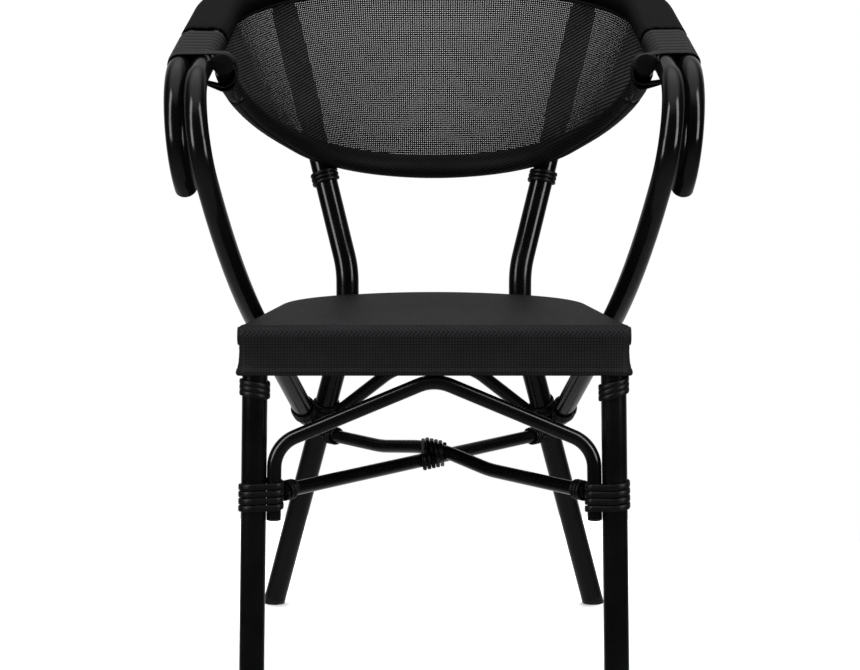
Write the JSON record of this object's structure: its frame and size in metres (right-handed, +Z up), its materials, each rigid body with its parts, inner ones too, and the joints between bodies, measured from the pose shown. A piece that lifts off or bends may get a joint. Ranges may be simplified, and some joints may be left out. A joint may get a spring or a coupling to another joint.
{
  "type": "stacking bistro armchair",
  "caption": "Stacking bistro armchair: black bent-tube frame with scrolled arms, mesh seat and curved mesh back, arched braces and a crossed stretcher, wicker-bound joints.",
  "frame": {"origin": "on the floor, under the middle of the chair's bounding box", "axes": "+Z up, +X to the right as seen from the front, the front of the chair faces -Y"},
  "size_m": [0.6048, 0.6092, 0.8423],
  "materials": {
    "frame": "gloss",
    "mesh_fabric": "woven, matte",
    "wicker": "satin",
    "plastic": "satin"
  },
  "bodies": {
    "root": {"front_leg_left": "frame", "front_leg_right": "frame", "arm_hoop_inner": "frame", "arm_hoop_outer": "frame", "rear_leg_left": "frame", "rear_leg_right": "frame", "back_rail": "frame", "seat_front_rail": "frame", "seat_rim": "frame", "seat_lower_front_rail": "frame", "seat_lower_rim": "frame", "rear_crossbar": "frame", "front_arch": "frame", "rear_arch": "frame", "rear_arch_tab": "frame", "stretcher_lower": "frame", "stretcher_upper": "frame", "seat_sling": "mesh_fabric", "back_panel": "mesh_fabric", "top_sleeve": "mesh_fabric", "upright_pocket_left": "mesh_fabric", "upright_pocket_right": "mesh_fabric", "front_binding_left": "wicker", "front_binding_right": "wicker", "leg_top_binding_left": "wicker", "leg_top_binding_right": "wicker", "rear_leg_binding_left": "wicker", "rear_leg_binding_right": "wicker", "stretcher_front_collar_left": "wicker", "stretcher_front_collar_right": "wicker", "stretcher_rear_collar_left": "wicker", "stretcher_rear_collar_right": "wicker", "arm_end_collar_left": "wicker", "arm_end_collar_right": "wicker", "upright_binding_left": "wicker", "upright_binding_right": "wicker", "arm_band_left": "wicker", "arm_band_right": "wicker", "stretcher_knot": "wicker", "front_glide_left": "plastic", "front_glide_right": "plastic", "rear_glide_left": "plastic", "rear_glide_right": "plastic", "scroll_cap_left": "plastic", "scroll_cap_right": "plastic", "arch_plug_left": "plastic", "arch_plug_right": "plastic", "seat_rail_plug_left": "plastic", "seat_rail_plug_right": "plastic"}
  },
  "joints": []
}
